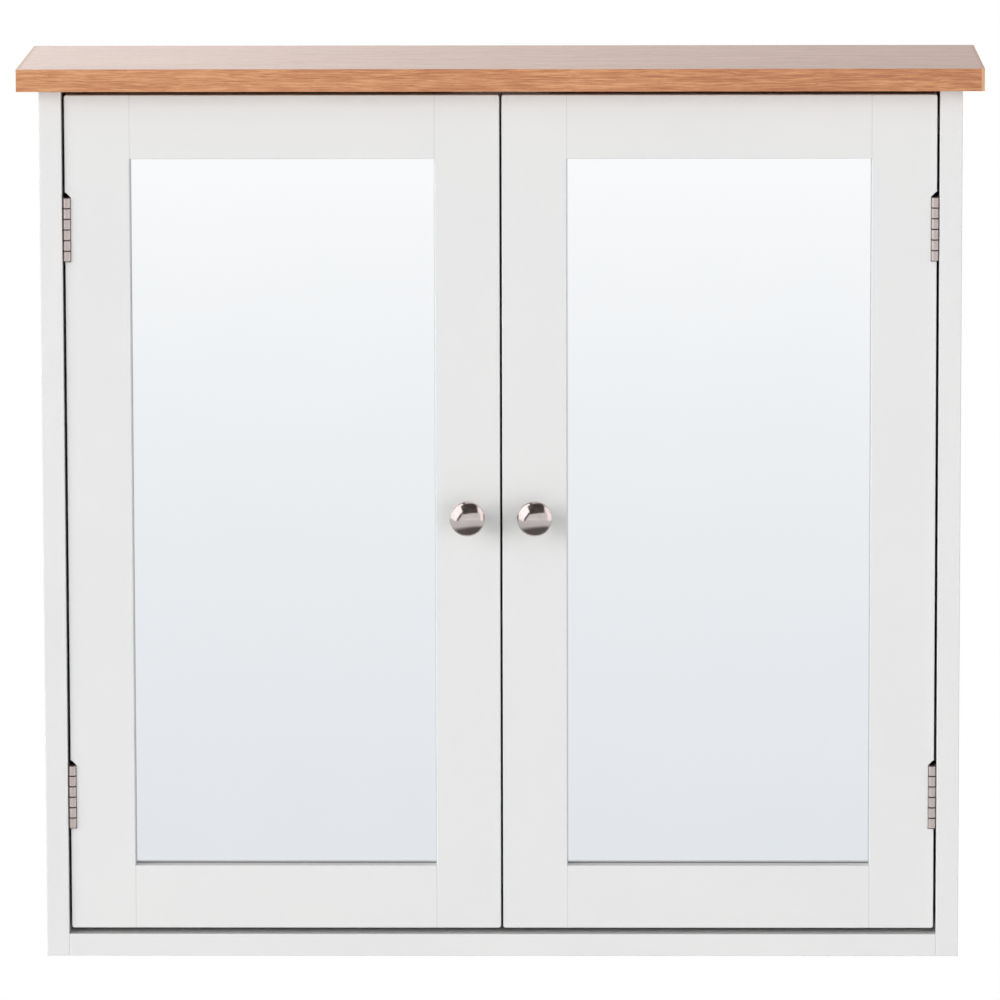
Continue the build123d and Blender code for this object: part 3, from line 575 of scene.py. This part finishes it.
bpy.ops.mesh.primitive_plane_add(size=FLOOR_WIDTH, location=(0, 0, FLOOR_Z))
floor = bpy.context.object
floor.name = "floor"
floor_white = finish("floor_white", (0.86, 0.86, 0.86), 0.9)
floor_paint = floor_white.node_tree.nodes["Principled BSDF"]
floor_paint.inputs["Specular IOR Level"].default_value = 0.0
off_middle = add(floor_white, "ShaderNodeMapping")
off_middle.inputs["Location"].default_value = (-DARK_FROM_MIDDLE, 0, 0)
link(floor_white, own_coordinates(floor_white), off_middle.inputs["Vector"])
from_cabinet = add(floor_white, "ShaderNodeVectorMath", operation="LENGTH")
link(floor_white, off_middle.outputs["Vector"], from_cabinet.inputs[0])
distance = from_cabinet.outputs["Value"]
rays = add(floor_white, "ShaderNodeLightPath")
camera_white = add(floor_white, "ShaderNodeEmission")
seen_far = spread_over(floor_white, distance, 0.0, 1.0, SHADOW_END, WHITE_START)
seen_by_camera = arithmetic(floor_white, "MULTIPLY", seen_far, rays.outputs["Is Camera Ray"])
mirrored_grey = add(floor_white, "ShaderNodeEmission")
mirrored_place = spread_over(floor_white, distance, 0.0, 1.0, 0.0, MIRRORED_REACH)
mirrored_shade = shaded(floor_white, mirrored_place, [
    (0.065, (0.13, 0.12, 0.12)),
    (0.10, (0.74, 0.735, 0.73)),
    (0.29, (0.80, 0.815, 0.835)),
    (0.77, (0.99, 0.985, 0.985)),
])
link(floor_white, mirrored_shade, mirrored_grey.inputs["Color"])
to_white = add(floor_white, "ShaderNodeMixShader")
to_mirror = add(floor_white, "ShaderNodeMixShader")
link(floor_white, seen_by_camera, to_white.inputs["Fac"])
link(floor_white, floor_paint.outputs["BSDF"], to_white.inputs[1])
link(floor_white, camera_white.outputs["Emission"], to_white.inputs[2])
link(floor_white, rays.outputs["Is Glossy Ray"], to_mirror.inputs["Fac"])
link(floor_white, to_white.outputs["Shader"], to_mirror.inputs[1])
link(floor_white, mirrored_grey.outputs["Emission"], to_mirror.inputs[2])
floor_surface = floor_white.node_tree.nodes["Material Output"].inputs["Surface"]
link(floor_white, to_mirror.outputs["Shader"], floor_surface)
floor.data.materials.append(floor_white)


# Reflected cards
# What only polished metal sees: a bright sheet to the left with a black border, a paler one far to
# the right and a black card over the camera's right shoulder. They show the curve of the knobs.

def facing(place, aim):
    """The turn that points an object's back, as lamps and cards have it, from a place to an aim."""
    return (aim - place).to_track_quat("-Z", "Y")


def towards(turn, rise, reach):
    """A place seen from the middle of the doors: degrees to the right, degrees up, metres away."""
    side, up = radians(turn), radians(rise)
    return KNOB_AIM + reach * Vector((sin(side) * cos(up), -cos(side) * cos(up), sin(up)))


def hang_card(name, place, width, height, roll, shift, dark, pale):
    """A glowing card that faces the knobs, shifted in its own plane, of a slightly uneven shade."""
    bpy.ops.mesh.primitive_plane_add(size=1, location=(shift[0], shift[1], 0))
    card = bpy.context.object
    card.name = name
    card.scale = (width, height, 1)
    bpy.ops.object.transform_apply(location=True, rotation=True, scale=True)
    card.location = place
    card.rotation_euler = (facing(place, KNOB_AIM) @ Quaternion((0, 0, 1), radians(roll))).to_euler()
    surface = finish(f"{name}_surface", (0, 0, 0), 0.9)
    shader = surface.node_tree.nodes["Principled BSDF"]
    shader.inputs["Specular IOR Level"].default_value = 0.0
    shader.inputs["Emission Strength"].default_value = CARD_GLOW
    clouds = mottle(surface, (1, 1, 1), 1)
    feed(surface, shaded(surface, clouds, [(0.35, dark), (0.65, pale)]), "Emission Color")
    card.data.materials.append(surface)
    card.visible_camera = False
    card.visible_diffuse = False
    card.visible_shadow = False
    card.visible_transmission = False


KNOB_AIM = Vector((0, -0.165, -0.237))
CARD_GLOW = 2.0
hang_card("bright_card", towards(-60, 27, 3.5), 3.1, 5.4, -24, (0, 0),
          (0.76, 0.73, 0.73), (0.88, 0.86, 0.86))
hang_card("right_card", towards(80, 14, 3.5), 1.8, 3.6, 0, (0, 0),
          (0.66, 0.62, 0.62), (0.74, 0.70, 0.70))
hang_card("border_card", towards(-60, 27, 3.6), 5.6, 6.6, -24, (-0.45, 0.6),
          (0.028, 0.024, 0.024), (0.05, 0.04, 0.04))
hang_card("dark_card", towards(15, 50, 2.0), 2.9, 2.0, 4, (0, 0),
          (0.03, 0.024, 0.024), (0.055, 0.045, 0.044))


# Studio light
# One very large soft box far to the left makes the knobs' soft shadow, and a weak one in front
# fills it. The room is pale, and brighter behind the cabinet's left end, where the top shines.

def soft_box(name, place, width, height, watts):
    """An oblong lamp that faces the knobs, seen by neither the camera nor polished metal."""
    bpy.ops.object.light_add(type="AREA", location=place)
    lamp = bpy.context.object
    lamp.name = name
    lamp.rotation_euler = facing(place, KNOB_AIM).to_euler()
    lamp.data.shape = "RECTANGLE"
    lamp.data.size = width
    lamp.data.size_y = height
    lamp.data.energy = watts
    lamp.visible_camera = False
    lamp.visible_glossy = False


soft_box("key_light", towards(-50, 14, 9.0), 7.0, 5.4, 500)
soft_box("front_light", towards(30, 2, 4.5), 4.2, 2.4, 43)

ROOM_LIGHT = 0.425
ROOM_MIRRORED = (0.86, 0.85, 0.85, 1)
SHEEN_LEFT = 1.58
SHEEN_RIGHT = 0.94
SHEEN_LEFT_HEADING = -0.07
SHEEN_RIGHT_HEADING = 0.05
SHEEN_BEND = 1.6
FULLY_BEHIND = 0.3

world = bpy.data.worlds.new("pale_room")
bpy.context.scene.world = world
world.use_nodes = True
room = world.node_tree
room_light = room.nodes["Background"]
room_light.inputs["Color"].default_value = (1, 1, 1, 1)
room_light.inputs["Strength"].default_value = ROOM_LIGHT
room_white = room.nodes.new("ShaderNodeBackground")
room_white.inputs["Color"].default_value = (1, 1, 1, 1)
room_mirrored = room.nodes.new("ShaderNodeBackground")
room_mirrored.inputs["Color"].default_value = ROOM_MIRRORED
room_heading = room.nodes.new("ShaderNodeTexCoord")
room_axes = room.nodes.new("ShaderNodeSeparateXYZ")
from_right = room.nodes.new("ShaderNodeMapRange")
from_right.inputs["From Min"].default_value = SHEEN_RIGHT_HEADING
from_right.inputs["From Max"].default_value = SHEEN_LEFT_HEADING
bent = room.nodes.new("ShaderNodeMath")
bent.operation = "POWER"
bent.inputs[1].default_value = SHEEN_BEND
sheen = room.nodes.new("ShaderNodeMapRange")
sheen.inputs["To Min"].default_value = SHEEN_RIGHT
sheen.inputs["To Max"].default_value = SHEEN_LEFT
behind = room.nodes.new("ShaderNodeMapRange")
behind.inputs["From Max"].default_value = FULLY_BEHIND
behind.inputs["To Min"].default_value = 1.0
room.links.new(room_heading.outputs["Generated"], room_axes.inputs["Vector"])
room.links.new(room_axes.outputs["X"], from_right.inputs["Value"])
room.links.new(from_right.outputs["Result"], bent.inputs[0])
room.links.new(bent.outputs["Value"], sheen.inputs["Value"])
room.links.new(room_axes.outputs["Y"], behind.inputs["Value"])
room.links.new(sheen.outputs["Result"], behind.inputs["To Max"])
room.links.new(behind.outputs["Result"], room_mirrored.inputs["Strength"])
room_rays = room.nodes.new("ShaderNodeLightPath")
room_seen = room.nodes.new("ShaderNodeMixShader")
room_all = room.nodes.new("ShaderNodeMixShader")
room.links.new(room_rays.outputs["Is Camera Ray"], room_seen.inputs["Fac"])
room.links.new(room_light.outputs["Background"], room_seen.inputs[1])
room.links.new(room_white.outputs["Background"], room_seen.inputs[2])
room.links.new(room_rays.outputs["Is Glossy Ray"], room_all.inputs["Fac"])
room.links.new(room_seen.outputs["Shader"], room_all.inputs[1])
room.links.new(room_mirrored.outputs["Background"], room_all.inputs[2])
room.links.new(room_all.outputs["Shader"], room.nodes["World Output"].inputs["Surface"])


# Camera
# A long lens 5 m from the doors, a little right of the middle and above, looking down on them.

CAMERA_PLACE = Vector((0.073, -5.150, 0.5099))
CAMERA_TURN = radians(-0.845)
CAMERA_DIP = radians(8.388)
CAMERA_ROLL = radians(-0.137)
SENSOR_WIDTH = 36
LENS = 291.0

ahead = Vector((sin(CAMERA_TURN) * cos(CAMERA_DIP), cos(CAMERA_TURN) * cos(CAMERA_DIP), -sin(CAMERA_DIP)))
bpy.ops.object.camera_add(location=CAMERA_PLACE)
camera = bpy.context.object
camera.rotation_euler = (ahead.to_track_quat("-Z", "Y") @ Quaternion((0, 0, 1), CAMERA_ROLL)).to_euler()
camera.data.sensor_width = SENSOR_WIDTH
camera.data.lens = LENS
camera.data.clip_end = 200
bpy.context.scene.camera = camera
bpy.context.scene.view_settings.view_transform = "Standard"

bpy.context.view_layer.update()
